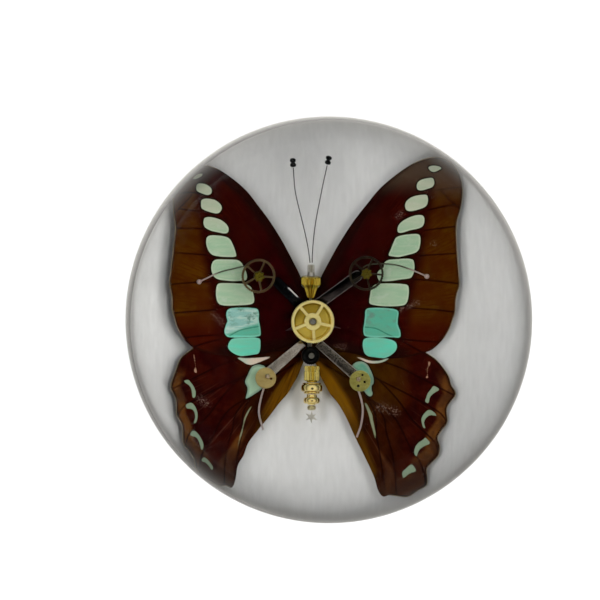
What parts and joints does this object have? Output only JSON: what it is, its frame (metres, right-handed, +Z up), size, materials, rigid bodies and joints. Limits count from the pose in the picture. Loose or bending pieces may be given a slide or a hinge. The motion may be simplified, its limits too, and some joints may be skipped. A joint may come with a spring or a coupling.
{
  "type": "insect in glass dome",
  "caption": "Butterfly with a body of watch parts, fixed on a pale disc in the recess of a solid clear glass dome that magnifies it.",
  "frame": {"origin": "middle of the dome's foot, on the table", "axes": "+Z up through the dome's top, +Y along the body towards the head, +X to the right seen from above with the head away from the viewer"},
  "size_m": [0.12, 0.12, 0.063],
  "materials": {
    "clear_glass": "polished, solid and clear",
    "white_card": "matt white",
    "wing_scales": "satin maroon-brown scales with a blue-green band",
    "pale_brass": "brushed, pale",
    "gilt_brass": "polished, deep yellow",
    "tarnished_brass": "dulled, olive",
    "bright_steel": "brushed",
    "dark_steel": "polished, reflects dark",
    "black_oxide": "blackened, satin"
  },
  "bodies": {
    "root": {"glass_dome": "clear_glass", "backing_disc": "white_card", "forewing_left": "wing_scales", "forewing_right": "wing_scales", "hindwing_left": "wing_scales", "hindwing_right": "wing_scales", "main_wheel": "pale_brass", "main_wheel_disc": "gilt_brass", "main_pivot": "bright_steel", "upper_wheel_left": "tarnished_brass", "upper_wheel_right": "black_oxide", "upper_hub_left": "tarnished_brass", "upper_hub_right": "tarnished_brass", "lower_disc_left": "pale_brass", "lower_disc_right": "pale_brass", "lower_pivot_left": "bright_steel", "lower_pivot_right": "bright_steel", "black_collar": "black_oxide", "collar_pivot": "bright_steel", "arm_upper_left": "dark_steel", "arm_upper_right": "dark_steel", "arm_lower_left": "bright_steel", "arm_lower_right": "dark_steel", "cross_bar": "bright_steel", "head_pinion": "bright_steel", "head_crown": "gilt_brass", "abdomen_sleeve": "gilt_brass", "abdomen_ring_1": "gilt_brass", "abdomen_ring_2": "gilt_brass", "abdomen_end_ring": "gilt_brass", "star_finial": "bright_steel", "antenna_wire_left": "bright_steel", "antenna_wire_right": "bright_steel", "antenna_bead_left": "black_oxide", "antenna_bead_right": "black_oxide", "foreleg_left": "bright_steel", "foreleg_right": "bright_steel", "hindleg_left": "bright_steel", "hindleg_right": "bright_steel"}
  },
  "joints": []
}
